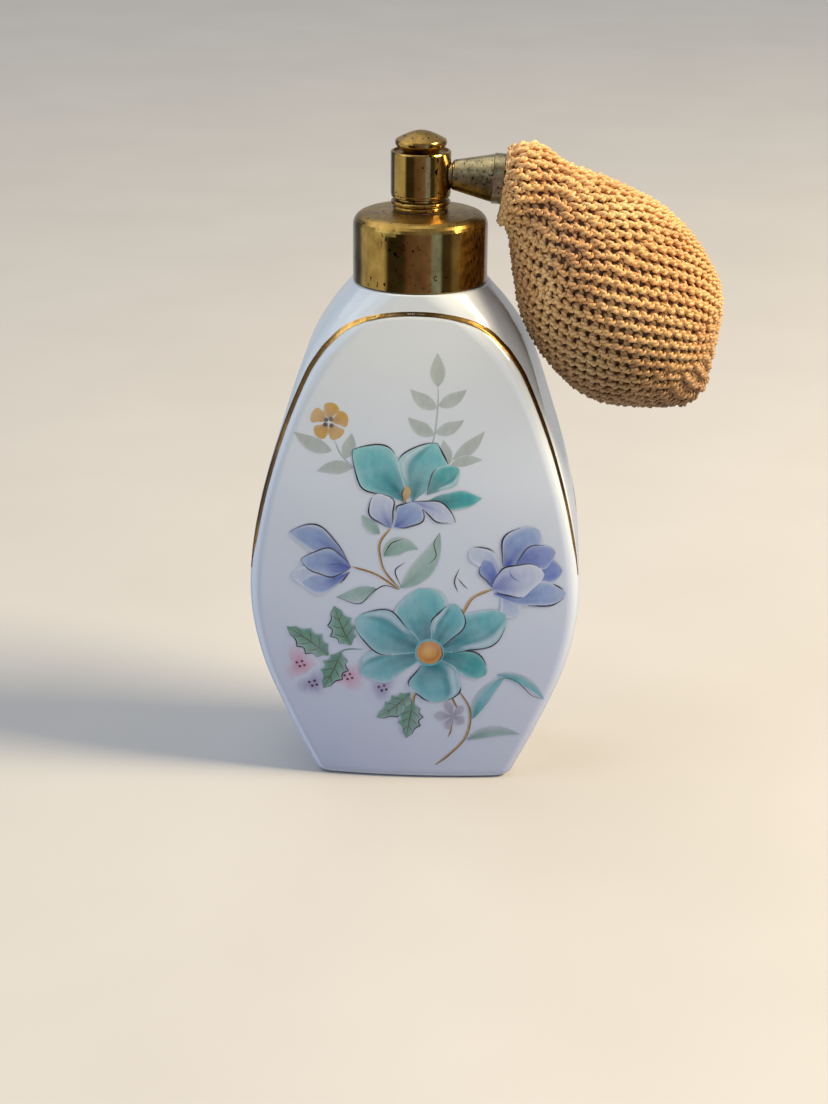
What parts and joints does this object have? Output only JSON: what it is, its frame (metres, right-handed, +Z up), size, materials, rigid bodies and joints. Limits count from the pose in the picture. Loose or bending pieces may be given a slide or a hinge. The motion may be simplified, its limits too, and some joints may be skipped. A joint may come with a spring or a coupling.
{
  "type": "perfume atomiser",
  "caption": "Flat pear-shaped porcelain scent bottle with a screw-on brass spray head, a closing knob and a crochet-covered rubber squeeze bulb.",
  "frame": {"origin": "centre of the porcelain bottle's flat foot, on the surface that it stands on", "axes": "+Z up along the bottle, +X towards the squeeze bulb, -X the way it sprays, -Y the decorated front panel"},
  "size_m": [0.0892, 0.0358, 0.1265],
  "materials": {
    "porcelain": "white glazed porcelain with a floral spray and a gilt line",
    "cement": "dry plaster cement",
    "aged_brass": "worn polished brass with tarnish specks",
    "plain_brass": "turned brass",
    "nickel": "nickel plate",
    "gasket_rubber": "moulded rubber",
    "fibre": "pressed fibre",
    "tube_plastic": "translucent drawn tube",
    "bulb_rubber": "dull moulded rubber",
    "crochet_yarn": "crocheted glossy twisted yarn"
  },
  "bodies": {
    "bottle": {"porcelain_bottle": "porcelain", "neck_cement": "cement", "neck_ferrule": "plain_brass"},
    "neck_seal": {"neck_gasket": "gasket_rubber"},
    "head": {"head_stem": "plain_brass", "slip_washer": "fibre", "bead_ring": "aged_brass", "barrel": "aged_brass", "mixing_block": "plain_brass", "nozzle_tip": "aged_brass", "liquid_jet": "nickel", "dip_tube": "tube_plastic", "bulb_coupling": "aged_brass", "bulb_nipple": "nickel", "neck_binding": "nickel", "needle_packing": "fibre"},
    "collar": {"collar_shell": "aged_brass", "collar_insert": "plain_brass"},
    "needle": {"shut_off_needle": "nickel"},
    "knob": {"closing_knob": "aged_brass"},
    "bulb": {"rubber_bulb": "bulb_rubber", "net_cover": "crochet_yarn"},
    "tail_valve": {"intake_valve": "plain_brass", "valve_cage": "nickel"},
    "intake_ball": {"intake_ball": "nickel"}
  },
  "joints": [
    {"name": "head_lift_off", "type": "slide", "parent": "bottle", "child": "neck_seal", "axis": [0, 0, 1], "range_m": [0, 0.1]},
    {"name": "head_rise", "type": "slide", "parent": "neck_seal", "child": "head", "axis": [0, 0, 1], "range_m": [0, 0.00301]},
    {"name": "collar_turn", "type": "hinge", "parent": "head", "child": "collar", "pos_m": [0, 0, 0.1046], "axis": [0, 0, 1], "range_deg": [0, 720]},
    {"name": "needle_rise", "type": "slide", "parent": "head", "child": "needle", "axis": [0, 0, 1], "range_m": [0, 0.00091]},
    {"name": "knob_turn", "type": "hinge", "parent": "needle", "child": "knob", "pos_m": [0, 0, 0.1231], "axis": [0, 0, 1], "range_deg": [0, 540]},
    {"name": "bulb_lift", "type": "hinge", "parent": "head", "child": "bulb", "pos_m": [0.016, 0, 0.1175], "axis": [0, -1, 0], "range_deg": [0, 45]},
    {"name": "bulb_squeeze", "type": "slide", "parent": "bulb", "child": "tail_valve", "axis": [-0.7071, 0, 0.7071], "range_m": [0, 0.012], "stiffness_N_per_m": 300, "deforming": ["rubber_bulb", "net_cover"]},
    {"name": "ball_lift", "type": "slide", "parent": "tail_valve", "child": "intake_ball", "axis": [-0.7071, 0, 0.7071], "range_m": [0, 0.0009]}
  ],
  "couplings": [
    {"joint": "head_rise", "follows": "collar_turn", "m_per_rad": 0.00023873},
    {"joint": "needle_rise", "follows": "knob_turn", "m_per_rad": 0.000095493}
  ]
}
